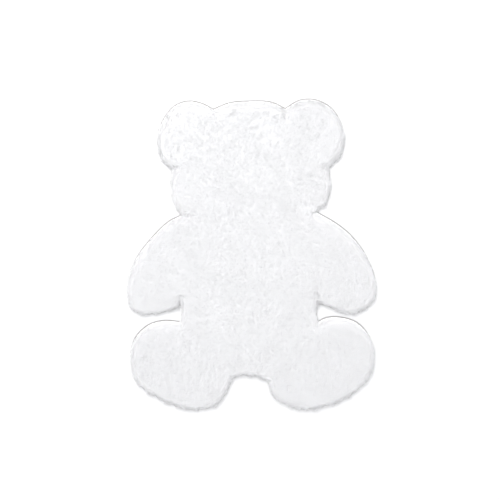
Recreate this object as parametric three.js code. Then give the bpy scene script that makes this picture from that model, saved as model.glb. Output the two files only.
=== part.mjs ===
// A plush rug cut in the outline of a bear: two ears, a head, two arms, a belly and two legs.
// It is one piece of pile cloth lying flat, so it is one solid: a flat sole on the floor, a rim that
// rounds over into the pile, and a gently lumpy top. The nap is combed from the head towards the feet,
// so the locks at the rim hang out wherever the rim faces the feet.
// Millimetres. The head is at +Y and the pile is at +Z.
import * as THREE from "three";
import { ConvexHull } from "three/addons/math/ConvexHull.js";

// Driving dimensions
const SOLE_HEIGHT = 0;
const PILE_TOP = 19.5; // mean height of the pile above the floor
const LUMP_HEIGHT = 1.5; // how far the top rises and falls about that height
const LUMP_LENGTH = 105; // from one lump of the pile to the next
const LOCK_PITCH = 15; // width of a lock of pile at the rim
const LOCK_LEAN = 3; // how far a lock on a side rim is swept along the rim by the nap
const LOCK_DROOP = 2; // how far a lock's tip hangs below the rim
const LOCK_LEAST = 0.3; // share of its reach that a lock keeps where the rim faces away from the nap
const LOCK_UNEVEN = 0.4; // how far, as a share, locks are longer or shorter than one another
const NOTCH_LENGTH = 45; // the rim rounds over more tightly this near to a notch
const NOTCH_SHARE = 0.5; // and at the notch itself it takes this share of its usual width
const GRID_PITCH = 27; // spacing of the points that shape the top
const GRID_JITTER = 5; // how uneven that spacing is
const GRID_MARGIN = 15; // nearest that one of those points comes to the top's border
const BOWL_SIZE = 1000; // radius at which the bowl that nets the top is as high as it is wide
const CHANCE_STEP = 12.9898;
const CHANCE_SPREAD = 43758.5453;
const PLUSH_COLOUR = 0xf6f5f8;

// The direction in which the nap is combed
const NAP = new THREE.Vector2(0, -1);

// The outline, counter-clockwise seen from above, as the bear's round forms from one notch to the next.
// Each form is a smooth curve through its points [x, y]. Reach is how far its locks stand out.
const FORMS = [
  { form: "crown", reach: 2, points: [[108, 464], [66, 486], [-4, 490], [-72, 484], [-122, 462]] },
  {
    form: "left ear",
    reach: 2,
    points: [
      [-122, 462], [-158, 482], [-202, 490], [-248, 474], [-282, 434],
      [-302, 382], [-302, 334], [-282, 294], [-252, 270],
    ],
  },
  { form: "left cheek", reach: 3, points: [[-252, 270], [-260, 230], [-254, 174], [-226, 122]] },
  {
    form: "left arm",
    reach: 4,
    points: [
      [-226, 122], [-264, 106], [-324, 48], [-368, -10], [-394, -70], [-398, -132],
      [-376, -182], [-324, -194], [-274, -186], [-240, -172], [-228, -152],
    ],
  },
  { form: "left side", reach: 2, points: [[-228, -152], [-224, -184], [-228, -218]] },
  {
    form: "left leg",
    reach: 8,
    points: [
      [-228, -218], [-280, -212], [-330, -226], [-374, -268], [-388, -324], [-378, -388],
      [-340, -434], [-280, -470], [-202, -494], [-132, -490], [-88, -458], [-62, -394],
    ],
  },
  { form: "crotch", reach: 5, points: [[-62, -394], [-26, -388], [14, -390], [54, -404]] },
  {
    form: "right leg",
    reach: 8,
    points: [
      [54, -404], [66, -448], [110, -482], [188, -496], [268, -474], [338, -436], [382, -378],
      [392, -322], [378, -264], [338, -218], [274, -200], [236, -204], [214, -218],
    ],
  },
  { form: "right side", reach: 2, points: [[214, -218], [206, -184], [212, -154]] },
  {
    form: "right arm",
    reach: 3,
    points: [
      [212, -154], [258, -176], [310, -190], [366, -176], [396, -132],
      [396, -78], [366, -2], [318, 62], [258, 108], [206, 134],
    ],
  },
  { form: "right cheek", reach: 3, points: [[206, 134], [238, 162], [254, 214], [246, 278]] },
  {
    form: "right ear",
    reach: 2,
    points: [
      [246, 278], [280, 308], [298, 364], [288, 420],
      [254, 470], [204, 494], [152, 492], [108, 464],
    ],
  },
];

// The rim's rows from the floor up: how far each lies inside the outline, its height, how much of a
// lock's reach it follows, and whether it has a point for each lock's tip or for its two ends only.
const RIM = [
  { row: "sole", inset: 4, height: SOLE_HEIGHT, follows: 0, tips: false },
  { row: "skirt", inset: 0, height: 5, follows: 1, tips: true },
  { row: "shoulder", inset: 4, height: 12, follows: 0.4, tips: true },
  { row: "brow", inset: 11, height: 17, follows: 0.1, tips: true },
  { row: "border", inset: 24, height: PILE_TOP, follows: 0, tips: false },
];

// The top's lumps are three crossing waves: how many lump lengths each counts across and along the rug,
// where it starts, and its share of the height.
const WAVES = [
  { wave: "across", x: 1, y: 0.3, phase: 1.3, share: 0.35 },
  { wave: "along", x: -0.45, y: 0.85, phase: 0.4, share: 0.35 },
  { wave: "slanting", x: 0.6, y: -0.55, phase: 2.2, share: 0.3 },
];

// A repeatable number from 0 to 1 for a counted thing.
function chance(count) {
  const wave = Math.sin((count + 1) * CHANCE_STEP) * CHANCE_SPREAD;
  return wave - Math.floor(wave);
}

// How far the pile's top stands above or below its mean height.
function lump(x, y) {
  const turn = (2 * Math.PI) / LUMP_LENGTH;
  const rise = WAVES.map((wave) => wave.share * Math.sin(turn * (wave.x * x + wave.y * y) + wave.phase));
  return LUMP_HEIGHT * rise.reduce((sum, part) => sum + part, 0);
}

// Points along the outline: the ends of each lock and, between them, its tip.
function outlineSamples() {
  const samples = [];
  for (const { reach, points } of FORMS) {
    const corners = points.map(([x, y]) => new THREE.Vector3(x, y, 0));
    const curve = new THREE.CatmullRomCurve3(corners, false, "centripetal");
    const length = curve.getLength();
    const locks = Math.round(length / LOCK_PITCH);
    for (let half = 0; half < 2 * locks; half++) {
      const share = half / (2 * locks);
      const at = curve.getPointAt(share);
      const along = curve.getTangentAt(share);
      const out = new THREE.Vector2(along.y, -along.x);
      const toNotch = length * Math.min(share, 1 - share);
      const width = NOTCH_SHARE + (1 - NOTCH_SHARE) * Math.min(1, toNotch / NOTCH_LENGTH);
      samples.push({ at, along, out, reach, width, tip: half % 2 === 1 });
    }
    samples[samples.length - 2 * locks].starts = true;
    samples[samples.length - 1].ends = curve.getTangentAt(1);
  }
  // At a notch the rim faces half way between the two forms that meet there.
  samples.forEach((sample, i) => {
    if (!sample.starts) return;
    const before = samples.at(i - 1).ends;
    sample.out.add(new THREE.Vector2(before.y, -before.x)).normalize();
  });
  return samples;
}

// One row of the rim, as points in space.
function rimRow({ inset, height, follows, tips }, samples) {
  const row = [];
  samples.forEach((sample, i) => {
    if (sample.tip && !tips) return;
    const facing = Math.max(0, sample.out.dot(NAP));
    const side = NAP.x * sample.along.x + NAP.y * sample.along.y;
    const uneven = 1 + LOCK_UNEVEN * (2 * chance(i) - 1);
    const length = sample.reach * uneven * (LOCK_LEAST + (1 - LOCK_LEAST) * facing);
    const stand = sample.tip ? follows * length : 0;
    const sweep = sample.tip ? follows * LOCK_LEAN * side : 0;
    const shift = stand - inset * sample.width;
    const x = sample.at.x + sample.out.x * shift + sample.along.x * sweep;
    const y = sample.at.y + sample.out.y * shift + sample.along.y * sweep;
    const droop = sample.tip && follows === 1 ? LOCK_DROOP * chance(i + 0.5) : 0;
    const rise = (height / PILE_TOP) ** 2 * lump(x, y);
    row.push(new THREE.Vector3(x, y, height - droop + rise));
  });
  return row;
}

// Whether a point lies inside a closed row, seen from above.
function inside(row, x, y) {
  let crossings = 0;
  row.forEach((a, i) => {
    const b = row[(i + 1) % row.length];
    if (a.y > y === b.y > y) return;
    if (x < a.x + ((y - a.y) / (b.y - a.y)) * (b.x - a.x)) crossings++;
  });
  return crossings % 2 === 1;
}

// Points spread over the top, in staggered lines, clear of its border.
function topPoints(border) {
  const box = new THREE.Box3().setFromPoints(border);
  const points = [];
  const lineGap = GRID_PITCH * Math.sin(Math.PI / 3);
  const lines = Math.ceil((box.max.y - box.min.y) / lineGap);
  const columns = Math.ceil((box.max.x - box.min.x) / GRID_PITCH);
  for (let line = 0; line <= lines; line++) {
    for (let column = 0; column <= columns; column++) {
      const count = line * (columns + 1) + column;
      const stagger = line % 2 === 1 ? 0.5 : 0;
      const x = box.min.x + (column + stagger) * GRID_PITCH + GRID_JITTER * (chance(count) - 0.5);
      const y = box.min.y + line * lineGap + GRID_JITTER * (chance(count + 0.5) - 0.5);
      const clear = border.every((b) => Math.hypot(b.x - x, b.y - y) > GRID_MARGIN);
      if (clear && inside(border, x, y)) {
        points.push(new THREE.Vector3(x, y, PILE_TOP + lump(x, y)));
      }
    }
  }
  return points;
}

// Even triangles between points that are seen from above: the points are lifted onto a bowl, and the
// underside of the bowl's convex hull joins each point to its nearest neighbours.
function netOf(points) {
  const bowl = points.map(({ x, y }) => new THREE.Vector3(x, y, (x * x + y * y) / BOWL_SIZE));
  const place = new Map(bowl.map((point, i) => [point, i]));
  const hull = new ConvexHull().setFromPoints(bowl);
  const triangles = [];
  for (const face of hull.faces) {
    if (face.normal.z > -1e-6) continue;
    const first = face.edge;
    const corners = [first, first.next, first.next.next].map((edge) => place.get(edge.head().point));
    triangles.push(corners.reverse());
  }
  return triangles;
}

// The rug's closed surface.
function plushGeometry() {
  const samples = outlineSamples();
  const rows = RIM.map((row) => rimRow(row, samples));
  const sole = rows[0];
  const border = rows[rows.length - 1];
  const top = border.concat(topPoints(border));
  const positions = [];
  const face = (a, b, c) => positions.push(...a, ...b, ...c);

  // The rim, row by row
  for (let i = 0; i + 1 < rows.length; i++) {
    const low = rows[i];
    const high = rows[i + 1];
    const steps = Math.max(low.length, high.length);
    const lowStride = low.length / steps;
    const highStride = high.length / steps;
    for (let k = 0; k < steps; k++) {
      const lowHere = low[Math.round(k * lowStride) % low.length];
      const lowNext = low[Math.round((k + 1) * lowStride) % low.length];
      const highHere = high[Math.round(k * highStride) % high.length];
      const highNext = high[Math.round((k + 1) * highStride) % high.length];
      if (lowHere !== lowNext) face(lowHere, lowNext, highNext);
      if (highHere !== highNext) face(lowHere, highNext, highHere);
    }
  }

  // The flat sole, facing down
  const contour = sole.map(({ x, y }) => new THREE.Vector2(x, y));
  for (const [a, b, c] of THREE.ShapeUtils.triangulateShape(contour, [])) {
    face(sole[c], sole[b], sole[a]);
  }

  // The pile's top, inside the rim's border
  for (const [a, b, c] of netOf(top)) {
    const x = (top[a].x + top[b].x + top[c].x) / 3;
    const y = (top[a].y + top[b].y + top[c].y) / 3;
    if (inside(border, x, y)) face(top[a], top[b], top[c]);
  }

  const geometry = new THREE.BufferGeometry();
  geometry.setAttribute("position", new THREE.Float32BufferAttribute(positions, 3));
  geometry.computeVertexNormals();
  return geometry;
}

const plush = new THREE.MeshStandardMaterial({ color: PLUSH_COLOUR, roughness: 1, metalness: 0 });
const geometry = plushGeometry();

// The origin is on the floor under the middle of the rug's length and width.
geometry.computeBoundingBox();
const middle = geometry.boundingBox.getCenter(new THREE.Vector3());
geometry.translate(-middle.x, -middle.y, 0);

const rug = new THREE.Mesh(geometry, plush);
rug.name = "plush_rug";

const bearRug = new THREE.Group();
bearRug.add(rug);

export default bearRug;
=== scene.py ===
# %% [markdown]
# This lesson dresses a flat plush rug, cut in the outline of a bear, for its picture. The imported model
# gives the rug's solid, which fixes its place and size and is never changed. All that is made here is
# in metres in the same frame: the head at +Y, the pile at +Z, and the floor at z = 0.

import bmesh
import bpy
import numpy as np
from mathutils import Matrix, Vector
from mathutils.geometry import delaunay_2d_cdt


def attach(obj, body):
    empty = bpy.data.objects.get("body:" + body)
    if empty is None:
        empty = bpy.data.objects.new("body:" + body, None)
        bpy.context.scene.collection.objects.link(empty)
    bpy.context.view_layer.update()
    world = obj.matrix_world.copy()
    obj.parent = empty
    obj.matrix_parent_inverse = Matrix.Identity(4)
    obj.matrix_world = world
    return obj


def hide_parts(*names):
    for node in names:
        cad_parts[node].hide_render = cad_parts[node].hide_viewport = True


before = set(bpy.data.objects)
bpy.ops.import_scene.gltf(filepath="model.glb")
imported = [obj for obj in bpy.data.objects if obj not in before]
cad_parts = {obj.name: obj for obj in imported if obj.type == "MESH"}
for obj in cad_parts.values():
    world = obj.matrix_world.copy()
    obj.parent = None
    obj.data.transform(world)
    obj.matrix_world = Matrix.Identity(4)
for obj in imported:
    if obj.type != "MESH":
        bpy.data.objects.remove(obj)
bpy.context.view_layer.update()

MM = 0.001
RUG_NODE = "plush_rug"

# %% [markdown]
# Nodes work out the pile's shape and its finish. Wiring them one by one makes long scripts, so one
# small class wraps a node's output. Sums on it add Math nodes, and its method node() adds any other
# node.


# %% A node's output that can be used in sums
def named(sockets, key):
    """The socket at a place, or the first socket in use with a name."""
    if isinstance(key, int):
        return sockets[key]
    return next(s for s in sockets if s.name == key and s.enabled)


class Wire:
    """One output of a node, in the tree that holds it."""

    def __init__(self, tree, socket=None):
        self.tree = tree
        self.socket = socket

    def node(self, kind, settings=None, sockets=None, out=0):
        """Adds a node, sets it, then feeds its sockets with values or links, and gives one output."""
        made = self.tree.nodes.new(kind)
        for name, value in (settings or {}).items():
            setattr(made, name, value)
        for key, value in (sockets or {}).items():
            socket = named(made.inputs, key)
            if isinstance(value, Wire):
                self.tree.links.new(value.socket, socket)
            else:
                socket.default_value = value
        return Wire(self.tree, named(made.outputs, out) if len(made.outputs) else None)

    def output(self, name):
        """Another output of the same node."""
        return Wire(self.tree, named(self.socket.node.outputs, name))

    def math(self, operation, first, second=0.0):
        return self.node("ShaderNodeMath", {"operation": operation}, {0: first, 1: second})

    def vector(self, operation, first, second=(0.0, 0.0, 0.0)):
        return self.node("ShaderNodeVectorMath", {"operation": operation}, {0: first, 1: second})

    def number(self, operation, first, second=(0.0, 0.0, 0.0)):
        """A number worked out from vectors, such as a length."""
        sockets = {0: first, 1: second}
        return self.node("ShaderNodeVectorMath", {"operation": operation}, sockets, out="Value")

    def times(self, amount):
        """This vector made longer or shorter by an amount."""
        return self.node("ShaderNodeVectorMath", {"operation": "SCALE"}, {"Vector": self, "Scale": amount})

    def __add__(self, other):
        return self.math("ADD", self, other)

    def __sub__(self, other):
        return self.math("SUBTRACT", self, other)

    def __rsub__(self, other):
        return self.math("SUBTRACT", other, self)

    def __mul__(self, other):
        return self.math("MULTIPLY", self, other)

    def __truediv__(self, other):
        return self.math("DIVIDE", self, other)

    def __rtruediv__(self, other):
        return self.math("DIVIDE", other, self)

    __radd__ = __add__
    __rmul__ = __mul__


# %% [markdown]
# The rug's outline is where the solid's flat sole ends. It could be drawn again here, but reading it
# off the solid keeps the two alike: the sole's border is every edge that belongs to one sole face only,
# walked in order.


# %% Read the outline off the solid
def sole_outline(node):
    """The border of a node's flat underside, as points in order, counter-clockwise from above."""
    shape = bmesh.new()
    shape.from_mesh(node.data)
    bmesh.ops.remove_doubles(shape, verts=shape.verts, dist=0.01 * MM)
    sole = {f for f in shape.faces if max(v.co.z for v in f.verts) < 0.1 * MM}
    border = [e for e in shape.edges if sum(f in sole for f in e.link_faces) == 1]
    beside = {}
    for edge in border:
        first, second = edge.verts
        beside.setdefault(first, []).append(second)
        beside.setdefault(second, []).append(first)
    start = border[0].verts[0]
    ring, before, here = [start], start, beside[start][0]
    while here is not start:
        ring.append(here)
        before, here = here, next(v for v in beside[here] if v is not before)
    points = np.array([v.co.xy for v in ring])
    shape.free()
    return points if signed_area(points) > 0 else points[::-1]


def signed_area(ring):
    """The area inside a ring of points, above zero if it runs counter-clockwise."""
    after = np.roll(ring, -1, axis=0)
    return float(np.sum(ring[:, 0] * after[:, 1] - ring[:, 1] * after[:, 0]) / 2)


outline = sole_outline(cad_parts[RUG_NODE])
print("outline of", len(outline), "points round", round(signed_area(outline), 3), "square metres")

# %% [markdown]
# The backing is the cloth that the pile is knitted into, a few millimetres thick and flat on the floor.
# Its edge slopes down and a little past the outline, so that the outermost pile starts close to the
# floor and a thin line of backing shows round it, its dark felt partly painted shade. The two faces are
# netted with even triangles, because a few long ones would shade badly and make a poor mesh.

# %% Make the backing
CLOTH = 2.6 * MM
HEM = 1.6 * MM
HEM_OVER = 3.2 * MM
PILE_IN = 1.0 * MM
PILE_LIFT = 0.4 * MM
LIP = 3.0 * MM
NET = 24 * MM
NET_CLEAR = 13 * MM


def inset(ring, distance):
    """A ring moved inwards by a distance."""
    ahead = np.roll(ring, -1, axis=0) - ring
    along = ahead / np.linalg.norm(ahead, axis=1)[:, None]
    along = along + np.roll(along, 1, axis=0)
    along /= np.linalg.norm(along, axis=1)[:, None]
    return ring + distance * np.stack([-along[:, 1], along[:, 0]], axis=1)


def within(ring, points):
    """Which points lie inside a ring: those that a ray to the right leaves an odd number of times."""
    a, b = ring, np.roll(ring, -1, axis=0)
    x, y = points[:, :1], points[:, 1:]
    spans = (a[:, 1] > y) != (b[:, 1] > y)
    run = np.where(b[:, 1] == a[:, 1], 1.0, b[:, 1] - a[:, 1])
    crossing = a[:, 0] + (y - a[:, 1]) / run * (b[:, 0] - a[:, 0])
    return (spans & (x < crossing)).sum(axis=1) % 2 == 1


def net_spots(ring):
    """Points in staggered lines inside a ring, clear of it."""
    low, high = ring.min(axis=0), ring.max(axis=0)
    lines = np.arange(low[1], high[1], NET * np.sqrt(3) / 2)
    along = np.arange(low[0], high[0], NET)
    spots = np.array([(x + (i % 2) * NET / 2, y) for i, y in enumerate(lines) for x in along])
    gaps = np.linalg.norm(spots[:, None] - ring[None], axis=2).min(axis=1)
    return spots[within(ring, spots) & (gaps > NET_CLEAR)]


def netted(ring, spots):
    """Triangles between a ring's points and the spots inside it, by their places in that order."""
    points = [Vector(p) for p in np.vstack([ring, spots])]
    found = delaunay_2d_cdt(points, [], [list(range(len(ring)))], 1, 1e-7)
    first = [origins[0] for origins in found[3]]
    return [[first[i] for i in face] for face in found[2]]


def at_height(points, z):
    return np.column_stack([points, np.full(len(points), z)])


def band(low, high, count):
    """Faces between two rings whose points start at these places."""
    return [[low + i, low + (i + 1) % count, high + (i + 1) % count, high + i] for i in range(count)]


spots = net_spots(inset(outline, LIP))
count = len(outline)
hem, lip = at_height(inset(outline, -HEM_OVER), HEM), at_height(inset(outline, LIP), CLOTH)
top = [hem, lip, at_height(spots, CLOTH)]
top_faces = band(0, count, count)
top_faces += [[i + count for i in face] for face in netted(lip[:, :2], spots)]
below = [at_height(outline, 0.0), at_height(spots, 0.0)]
sole_start = sum(len(part) for part in top)
sole_faces = [[i + sole_start for i in reversed(face)] for face in netted(outline, spots)]

edge_faces = band(sole_start, 0, count)
pile_top = [at_height(inset(outline, PILE_IN), HEM + PILE_LIFT), *top[1:]]

backing_mesh = bpy.data.meshes.new("rug_backing")
backing_mesh.from_pydata(np.vstack(top + below).tolist(), [], top_faces + sole_faces + edge_faces)
backing = bpy.data.objects.new("rug_backing", backing_mesh)
bpy.context.scene.collection.objects.link(backing)
print("backing of", len(backing_mesh.polygons), "faces")

# %% [markdown]
# White plush is never one flat colour: no two locks are dyed quite alike. Each lock is also painted a
# little greyer at its root, as painted shade for the light lost between the fibres. Both come from the
# lock's own map: its first axis holds the lock's tint and its second runs from root to tip. A map is used
# because it stays with the pile when the model is exported. Light also passes through white fibres, and
# some subsurface scattering evens out the locks as it does on real plush.

# %% Finish of the pile
PILE_MAP = "OFBake"
# The root colour is painted shade: a grey that stands for the light lost deep between the fibres.
ROOT_PAINTED_SHADE = (0.93, 0.925, 0.94, 1)
TIP = (0.985, 0.982, 0.985, 1)
COOL_TIP = (0.965, 0.963, 0.98, 1)
ROOT_SHADE_SHARE = 0.3


def new_material(name):
    """A material with its shader, as (material, shader node, wire to build on)."""
    material = bpy.data.materials.new(name)
    material.use_nodes = True
    shader = next(n for n in material.node_tree.nodes if n.type == "BSDF_PRINCIPLED")
    return material, shader, Wire(material.node_tree)


def mixed(amount, first, second):
    """A colour between two others."""
    sockets = {"Factor": amount, "A": first, "B": second}
    return amount.node("ShaderNodeMix", {"data_type": "RGBA"}, sockets, out="Result")


def plush_finish():
    material, shader, start = new_material("white_plush")
    lock_map = start.node("ShaderNodeUVMap", {"uv_map": PILE_MAP})
    place = start.node("ShaderNodeSeparateXYZ", {}, {0: lock_map})
    tint, along = place.output("X"), place.output("Y")
    tip = mixed(tint, TIP, COOL_TIP)
    # Painted shade: the colour runs from the grey root to the tip over the root's share of each lock.
    rise = {"Value": along, "From Max": ROOT_SHADE_SHARE}
    root_shade_fade = start.node("ShaderNodeMapRange", {"interpolation_type": "SMOOTHSTEP"}, rise)
    material.node_tree.links.new(mixed(root_shade_fade, ROOT_PAINTED_SHADE, tip).socket, shader.inputs["Base Color"])
    shader.inputs["Roughness"].default_value = 0.9
    shader.inputs["Specular IOR Level"].default_value = 0.2
    shader.inputs["Subsurface Weight"].default_value = 0.85
    shader.inputs["Subsurface Radius"].default_value = (1, 1, 1)
    shader.inputs["Subsurface Scale"].default_value = 1.4 * MM
    return material


white_plush = plush_finish()
print("finish", white_plush.name)

# %% [markdown]
# The pile is some two hundred thousand fine locks of fibre, far too many to place by hand, so a
# Geometry Nodes tree grows them. At this size a lock is a plain three-sided spike, which is the fewest
# faces that still make a closed solid: bent or rounder locks would have to be fewer and thicker, and
# thick ones look like crumpled foil.

# %% One lock of fibre
LOCK_SIDES = 3


def lock_of_fibre(given):
    """A lock one unit long, standing along Z. Its points know how far along and to the side they are."""
    thick = given.output("Width") / given.output("Length")
    spike = {"Vertices": LOCK_SIDES, "Radius Top": 0.0, "Radius Bottom": thick / 2, "Depth": 1.0}
    lock = given.node("GeometryNodeMeshCone", {}, spike, out="Mesh")
    place = given.node("ShaderNodeSeparateXYZ", {}, {0: given.node("GeometryNodeInputPosition")})
    lock = stored(lock, "along", place.output("Z"))
    return stored(lock, "side", 0.5 + place.output("X") / thick)


def stored(geometry, name, value, kind="FLOAT", domain="POINT"):
    """The geometry with a value kept on it by name."""
    sockets = {"Geometry": geometry, "Name": name, "Value": value}
    return geometry.node("GeometryNodeStoreNamedAttribute", {"data_type": kind, "domain": domain}, sockets)


# %% [markdown]
# The nap is combed from the head towards the feet, so each lock leans that way. Soft noise turns whole
# patches, and finer noise, drawn out along the nap, gathers neighbours into streaks. Near the rim, and
# along the short partings that run in from the notches, nothing holds the locks up, so they fan out
# over the edge. They do so most where the nap runs over it, and hardly at the head's end.

# %% How each lock leans
NAP = (0, -1, 0)
FLAT = (1, 1, 0)
RIM_FALL = 1.6  # how steeply the rim's pull fades inwards
SIDE_FALL = 0.62  # how freely locks fall over a rim that runs along the nap
NAP_FALL = 0.4  # what is added to that where the nap runs over the rim, and taken off at the head
LEAST_LEAN, MOST_LEAN = 1e-4, 0.93
PATCH_SIZE = 70 * MM
STREAK_SIZE = 9 * MM
STREAK_STRETCH = (1, 0.45, 1)


def noise(given, size, stretch=(1, 1, 1)):
    """Soft noise from -0.5 to 0.5 in each direction, with lumps of a size in metres."""
    place = given.node("GeometryNodeInputPosition")
    place = place.vector("MULTIPLY", place, stretch)
    sockets = {"Vector": place, "Scale": 1 / size, "Detail": 1.0}
    lumps = given.node("ShaderNodeTexNoise", {}, sockets, out="Color")
    return given.vector("SUBTRACT", lumps, (0.5, 0.5, 0.5))


def rim_of(given):
    """How near a root is to the rim, from 0 to 1, and the way out to it."""
    open_edge = 2 - given.node("GeometryNodeInputMeshEdgeNeighbors")
    edges = {"Geometry": given.output("Ground"), "Selection": open_edge}
    rim = given.node("GeometryNodeSeparateGeometry", {"domain": "EDGE"}, edges)
    nearest = given.node("GeometryNodeProximity", {"target_element": "EDGES"}, {"Geometry": rim})
    away = given.vector("SUBTRACT", nearest, given.node("GeometryNodeInputPosition"))
    out = given.vector("NORMALIZE", given.vector("MULTIPLY", away, FLAT))
    fall = {"Value": nearest.output("Distance"), "From Min": 0.0, "From Max": given.output("Rim width")}
    fall |= {"To Min": 1.0, "To Max": 0.0}
    near = given.node("ShaderNodeMapRange", {}, fall)
    return given.math("POWER", near, RIM_FALL), out


def along_nap(given, out):
    """How far a rim faces the way the nap runs: 1 at the foot of the rug, -1 at its head."""
    return given.number("DOT_PRODUCT", out, NAP)


def loose_of(given, near, out):
    """How freely a lock falls over the rim, from 0 to 1: most where the nap runs over it."""
    return given.node("ShaderNodeClamp", {}, {"Value": SIDE_FALL + NAP_FALL * along_nap(given, out)}) * near


def lean_of(given, loose, out):
    """Which way a lock leans and how far, as a level vector no longer than the most it can lean."""
    nap = given.node("ShaderNodeCombineXYZ", {}, {"Y": -1.0}).times(given.output("Lean") * (1 - loose))
    fan = out.times(given.output("Rim lean") * loose)
    patch = noise(given, PATCH_SIZE).times(given.output("Patch turn"))
    streak = noise(given, STREAK_SIZE, STREAK_STRETCH).times(given.output("Streak turn"))
    lean = given.vector("ADD", given.vector("ADD", nap, fan), given.vector("ADD", patch, streak))
    lean = given.vector("MULTIPLY", lean, FLAT)
    length = given.math("MAXIMUM", given.number("LENGTH", lean), LEAST_LEAN)
    return lean.times(given.math("MINIMUM", 1.0, MOST_LEAN / length))

# %% [markdown]
# The tree scatters roots evenly over the backing, keeps those in one region of the rug, and stands a
# lock on each, leant over and turned about its own length by chance. A root's random numbers also give
# its tint and length. Single locks would catch the light too sharply, so their normals are turned
# towards those of the plush as a whole, which faces up and rolls outwards at the rim. At the end the
# copies are made real and given their map and finish, because a copy that isn't real is lost when the
# model is exported.

# %% The tree that grows the pile
CROWDING = 2.6  # roots tried for each square of the spacing, so that no place stays bare
LOCK_SHORTEST, LOCK_SPREAD = 0.9, 0.2
MAP_EDGE, MAP_TINT, MAP_SIDE = 0.02, 0.92, 0.04
TUFT_SIZE = 24 * MM
PILE_INPUTS = {
    "Ground": "NodeSocketGeometry", "Spacing": "NodeSocketFloat", "Length": "NodeSocketFloat",
    "Width": "NodeSocketFloat", "Lean": "NodeSocketFloat", "Rim lean": "NodeSocketFloat",
    "Rim width": "NodeSocketFloat", "Rim length": "NodeSocketFloat", "Rim roll": "NodeSocketFloat",
    "Softness": "NodeSocketFloat", "Patch turn": "NodeSocketFloat", "Streak turn": "NodeSocketFloat",
    "Raggedness": "NodeSocketFloat", "Middle": "NodeSocketVector", "Half size": "NodeSocketVector",
    "Seed": "NodeSocketInt",
}


def pile_tree():
    tree = bpy.data.node_groups.new("plush_pile", "GeometryNodeTree")
    for name, kind in PILE_INPUTS.items():
        tree.interface.new_socket(name, in_out="INPUT", socket_type=kind)
    tree.interface.new_socket("Pile", in_out="OUTPUT", socket_type="NodeSocketGeometry")
    given = Wire(tree).node("NodeGroupInput", out="Ground")

    spread = {"Mesh": given, "Distance Min": given.output("Spacing"), "Seed": given.output("Seed")}
    spread["Density Max"] = CROWDING / (given.output("Spacing") * given.output("Spacing"))
    roots = given.node("GeometryNodeDistributePointsOnFaces", {"distribute_method": "POISSON"}, spread)
    region = {"Geometry": roots, "Selection": in_region(given)}
    roots = given.node("GeometryNodeSeparateGeometry", {}, region)

    near, out = rim_of(given)
    loose = loose_of(given, near, out)
    lean = lean_of(given, loose, out)
    level = given.number("DOT_PRODUCT", lean, lean)
    rise = given.node("ShaderNodeCombineXYZ", {}, {"Z": given.math("SQRT", 1 - level)})
    turn = turned(given, "Z", given.vector("ADD", lean, rise))
    turn = turned(given, "X", chance(given, 3, "FLOAT_VECTOR"), {"Rotation": turn}, "Z")
    length = given.output("Length") * (LOCK_SHORTEST + LOCK_SPREAD * chance(given, 1))
    length = length * overhang(given, near, out)

    stand = {"Points": roots, "Instance": lock_of_fibre(given), "Rotation": turn, "Scale": length}
    pile = given.node("GeometryNodeInstanceOnPoints", {}, stand)
    pile = stored(pile, "tint", chance(given, 2), domain="INSTANCE")
    pile = stored(pile, "form", form_of(given, loose, out), "FLOAT_VECTOR", "INSTANCE")
    pile = given.node("GeometryNodeRealizeInstances", {}, {"Geometry": pile})
    across = MAP_EDGE + MAP_TINT * kept(given, "tint") + MAP_SIDE * kept(given, "side")
    place = given.node("ShaderNodeCombineXYZ", {}, {"X": across, "Y": kept(given, "along")})
    pile = stored(pile, PILE_MAP, place, "FLOAT2", "CORNER")
    pile = given.node("GeometryNodeSetShadeSmooth", {}, {"Geometry": pile})
    pile = softened(given, pile)
    for name in ("tint", "side", "along", "form"):
        pile = given.node("GeometryNodeRemoveAttribute", {}, {"Geometry": pile, "Name": name})
    pile = given.node("GeometryNodeSetMaterial", {}, {"Geometry": pile, "Material": white_plush})
    given.node("NodeGroupOutput", {}, {"Pile": pile})
    return tree


def overhang(given, near, out):
    """A lock's share of the full length: less at the rim, and uneven where the nap runs over it."""
    tuft = given.node("ShaderNodeSeparateXYZ", {}, {0: noise(given, TUFT_SIZE)}).output("X")
    tufted = given.math("MAXIMUM", along_nap(given, out), 0.0) * near * given.output("Raggedness") * tuft
    return 1 - near * (1 - given.output("Rim length")) + tufted


def form_of(given, loose, out):
    """The way the plush as a whole faces at a root: up, and outwards where it falls over the rim."""
    roll = loose * given.output("Rim roll")
    up = given.node("ShaderNodeCombineXYZ", {}, {"Z": 1 - roll})
    return given.vector("NORMALIZE", given.vector("ADD", up, out.times(roll)))


def softened(given, pile):
    """The pile with its normals turned towards the form's, so that it is lit as one soft body."""
    own = given.node("GeometryNodeInputNormal").times(1 - given.output("Softness"))
    form = kept(given, "form", "FLOAT_VECTOR").times(given.output("Softness"))
    normal = given.vector("NORMALIZE", given.vector("ADD", own, form))
    sockets = {"Mesh": pile, "Custom Normal": normal}
    return given.node("GeometryNodeSetMeshNormal", {"mode": "FREE", "domain": "POINT"}, sockets)


def in_region(given):
    """Above zero for a root inside the region's box."""
    off = given.vector("SUBTRACT", given.node("GeometryNodeInputPosition"), given.output("Middle"))
    share = given.vector("ABSOLUTE", given.vector("DIVIDE", off, given.output("Half size")))
    share = given.node("ShaderNodeSeparateXYZ", {}, {0: share})
    return 1 - given.math("MAXIMUM", share.output("X"), share.output("Y"))


def turned(given, axis, way, sockets=None, pivot="AUTO"):
    """A rotation that points an axis a given way."""
    settings = {"axis": axis, "pivot_axis": pivot}
    return given.node("FunctionNodeAlignRotationToVector", settings, {"Vector": way} | (sockets or {}))


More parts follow.
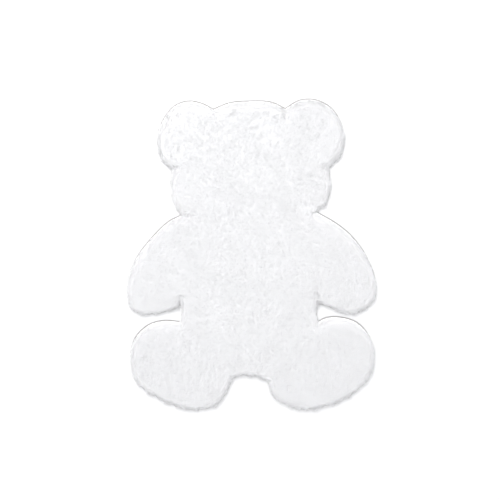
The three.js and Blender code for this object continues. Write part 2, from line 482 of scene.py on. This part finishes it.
def chance(given, draw, kind="FLOAT"):
    """A lock's own random number, from 0 to 1, or its own random way to face. Each draw gives another."""
    low, high = (0.0, 1.0) if kind == "FLOAT" else ((-1.0, -1.0, -1.0), (1.0, 1.0, 1.0))
    sockets = {"Min": low, "Max": high, "Seed": given.output("Seed") + float(draw)}
    return given.node("FunctionNodeRandomValue", {"data_type": kind}, sockets, out="Value")


def kept(given, name, kind="FLOAT"):
    """A value kept on the geometry by name."""
    settings = {"data_type": kind}
    return given.node("GeometryNodeInputNamedAttribute", settings, {"Name": name}, out="Attribute")


plush_pile = pile_tree()
print("pile tree of", len(plush_pile.nodes), "nodes")

# %% [markdown]
# Short partings in the pile run in from the notches, where the cloth bends round two forms that meet.
# They are loose edges on the ground mesh, and the tree takes any edge with fewer than two faces as rim.
# They lie somewhat below the ground, so that they turn the locks less than the rim does.

# %% The ground and its partings
PARTINGS = [
    {"notch": "left ear and cheek", "x": -252, "y": 276, "run_x": 13, "run_y": 9},
    {"notch": "right ear and cheek", "x": 246, "y": 282, "run_x": -22, "run_y": 7},
    {"notch": "left cheek and arm", "x": -226, "y": 127, "run_x": 20, "run_y": 5},
    {"notch": "right cheek and arm", "x": 206, "y": 138, "run_x": -18, "run_y": -3},
    {"notch": "left armpit", "x": -228, "y": -147, "run_x": 0, "run_y": 16},
    {"notch": "right armpit", "x": 212, "y": -149, "run_x": -4, "run_y": 28},
    {"notch": "right ear and crown", "x": 108, "y": 469, "run_x": -2, "run_y": -22},
]

PARTING_DEPTH = 8 * MM

points = np.vstack(pile_top).tolist()
edges = []
for parting in PARTINGS:
    x, y = parting["x"] * MM, parting["y"] * MM
    edges.append([len(points), len(points) + 1])
    points.append([x, y, CLOTH - PARTING_DEPTH])
    points.append([x + parting["run_x"] * MM, y + parting["run_y"] * MM, CLOTH - PARTING_DEPTH])
ground = bpy.data.meshes.new("pile_ground")
ground.from_pydata(points, edges, top_faces)
print("ground with", len(edges), "partings")

# %% [markdown]
# One mesh of the whole pile would be too heavy to handle, so the tree grows it in six regions, each a
# piece of its own. All six use the same seed on the same ground, so a root near a border is in exactly
# one of them.

# %% Grow the pile
PILE = {
    "Spacing": 1.15 * MM, "Length": 22 * MM, "Width": 4.4 * MM, "Lean": 0.72,
    "Rim lean": 0.85, "Rim width": 22 * MM, "Rim length": 0.55, "Rim roll": 0.9,
    "Softness": 0.9, "Patch turn": 0.45, "Streak turn": 0.55, "Raggedness": 1.5,
    "Seed": 7,
}
NECK, WAIST, EDGE = 0.135, -0.19, 0.6
STRIPS = [("head", NECK, EDGE), ("arm", WAIST, NECK), ("leg", -EDGE, WAIST)]
SIDES = [("left", -EDGE, 0.0), ("right", 0.0, EDGE)]


def grown(name, inputs):
    """A region's pile as a plain mesh."""
    piece = bpy.data.objects.new(name, ground)
    bpy.context.scene.collection.objects.link(piece)
    grower = piece.modifiers.new("pile", "NODES")
    grower.node_group = plush_pile
    for socket in plush_pile.interface.items_tree:
        if socket.name in inputs:
            grower[socket.identifier] = inputs[socket.name]
    evaluated = piece.evaluated_get(bpy.context.evaluated_depsgraph_get())
    mesh = bpy.data.meshes.new_from_object(evaluated)
    piece.modifiers.remove(grower)
    piece.data = mesh
    mesh.name = name
    return piece


pile_pieces = []
for strip, low, high in STRIPS:
    for side, left, right in SIDES:
        middle = ((left + right) / 2, (low + high) / 2, 0)
        half_size = ((right - left) / 2, (high - low) / 2, 1)
        piece = grown(f"pile_{strip}_{side}", PILE | {"Middle": middle, "Half size": half_size})
        pile_pieces.append(piece)
        print(piece.name, "has", sum(len(face.vertices) - 2 for face in piece.data.polygons), "triangles")

# %% [markdown]
# The backing has two faces. On top is the white knitted ground that holds the pile, which shows only
# deep between the locks. Below and round the edge is a felt that keeps the rug from slipping. Its dark
# grey is partly the felt's own colour and partly painted shade: it draws the thin shadow line along the
# upper rims. Both are a fine grid of stitches in the colour and a slight bump.

# %% Finish of the backing
STITCH = 2.2 * MM
WAVE_AT_ONE = 0.32  # about how far apart a Wave Texture's crests are at a scale of 1
KNIT = {"name": "knitted_ground", "light": (0.94, 0.935, 0.95, 1), "dark": (0.86, 0.855, 0.87, 1)}
# The felt's dark grey is partly its own colour and partly painted shade for the shadow line at the rims.
FELT_AND_RIM_SHADE = {"name": "felt_and_painted_rim_shade", "light": (0.24, 0.235, 0.23, 1), "dark": (0.18, 0.175, 0.17, 1)}


def backing_finish(look):
    material, shader, start = new_material(look["name"])
    place = start.node("ShaderNodeTexCoord", out="Object")
    sockets = {"Vector": place, "Scale": WAVE_AT_ONE / STITCH}
    rows = start.node("ShaderNodeTexWave", {"bands_direction": "Y"}, sockets, out="Fac")
    wales = start.node("ShaderNodeTexWave", {"bands_direction": "X"}, sockets, out="Fac")
    stitch = rows * wales
    colour = mixed(stitch, look["dark"], look["light"])
    material.node_tree.links.new(colour.socket, shader.inputs["Base Color"])
    raised = start.node("ShaderNodeBump", {}, {"Strength": 0.3, "Distance": 0.4 * MM, "Height": stitch})
    material.node_tree.links.new(raised.socket, shader.inputs["Normal"])
    shader.inputs["Roughness"].default_value = 0.95
    return material


backing_mesh.materials.append(backing_finish(KNIT))
backing_mesh.materials.append(backing_finish(FELT_AND_RIM_SHADE))
# The hem, the edge and the sole take the felt, so its painted shade lines the rims.
for number, face in enumerate(backing_mesh.polygons):
    face.material_index = 0 if count <= number < len(top_faces) else 1
print("finishes", [material.name for material in backing_mesh.materials])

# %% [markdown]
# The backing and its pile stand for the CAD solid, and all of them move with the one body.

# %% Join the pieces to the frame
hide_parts(RUG_NODE)
for piece in [backing, *pile_pieces]:
    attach(piece, "root")
print(len(pile_pieces) + 1, "pieces ride on the root body")

# %% [markdown]
# The picture is taken from straight above, on a white floor in soft light. A white world lights
# everything evenly, and one large lamp from the upper left gives the rug its darker rims at the right
# and below. The pile shades itself and needs strong light to look white, so the floor under it is a
# light grey that comes out just white in the picture and stays pale from the side.

# %% Floor and light
FLOOR_SIZE = 60.0
FLOOR_GREY = (0.49, 0.49, 0.49, 1)
SKY = (0.975, 0.98, 1.0, 1)
SKY_STRENGTH = 1.68
LAMP_PLACE = Vector((-0.75, 1.9, 2.4))
LAMP_SIZE = 2.2
LAMP_POWER = 116

floor_mesh = bpy.data.meshes.new("floor")
half = FLOOR_SIZE / 2
corners = [(-half, -half, 0), (half, -half, 0), (half, half, 0), (-half, half, 0)]
floor_mesh.from_pydata(corners, [], [(0, 1, 2, 3)])
floor = bpy.data.objects.new("floor", floor_mesh)
bpy.context.scene.collection.objects.link(floor)
floor_paint, floor_shader, _ = new_material("pale_floor")
floor_shader.inputs["Base Color"].default_value = FLOOR_GREY
floor_shader.inputs["Roughness"].default_value = 1.0
floor_shader.inputs["Specular IOR Level"].default_value = 0.0
floor_mesh.materials.append(floor_paint)

world = bpy.data.worlds.new("soft_sky")
world.use_nodes = True
sky = next(n for n in world.node_tree.nodes if n.type == "BACKGROUND")
sky.inputs["Color"].default_value = SKY
sky.inputs["Strength"].default_value = SKY_STRENGTH
bpy.context.scene.world = world

lamp_data = bpy.data.lights.new("soft_lamp", "AREA")
lamp_data.shape = "DISK"
lamp_data.size = LAMP_SIZE
lamp_data.energy = LAMP_POWER
lamp = bpy.data.objects.new("soft_lamp", lamp_data)
lamp.location = LAMP_PLACE
lamp.rotation_euler = (-LAMP_PLACE).to_track_quat("-Z", "Y").to_euler()
bpy.context.scene.collection.objects.link(lamp)
print("lamp", round(LAMP_PLACE.length, 2), "m away")

# %% [markdown]
# The camera's height follows from the picture: its 500 pixels span 1.6 m of rug and floor at the height
# of the rug's edge, and the rug's middle lies a little right of and below the picture's middle.

# %% Camera
PICTURE_SPAN = 1.6
RUG_OFF_CENTRE = (4.4 * MM, -15.6 * MM)
LENS, SENSOR = 50.0, 36.0

camera_data = bpy.data.cameras.new("camera")
camera_data.lens = LENS
camera_data.sensor_width = SENSOR
camera = bpy.data.objects.new("camera", camera_data)
height = PICTURE_SPAN * LENS / SENSOR + HEM
camera.location = (-RUG_OFF_CENTRE[0], -RUG_OFF_CENTRE[1], height)
bpy.context.scene.collection.objects.link(camera)
bpy.context.scene.camera = camera
bpy.context.scene.view_settings.view_transform = "Standard"
print("camera", round(height, 3), "m above the floor")
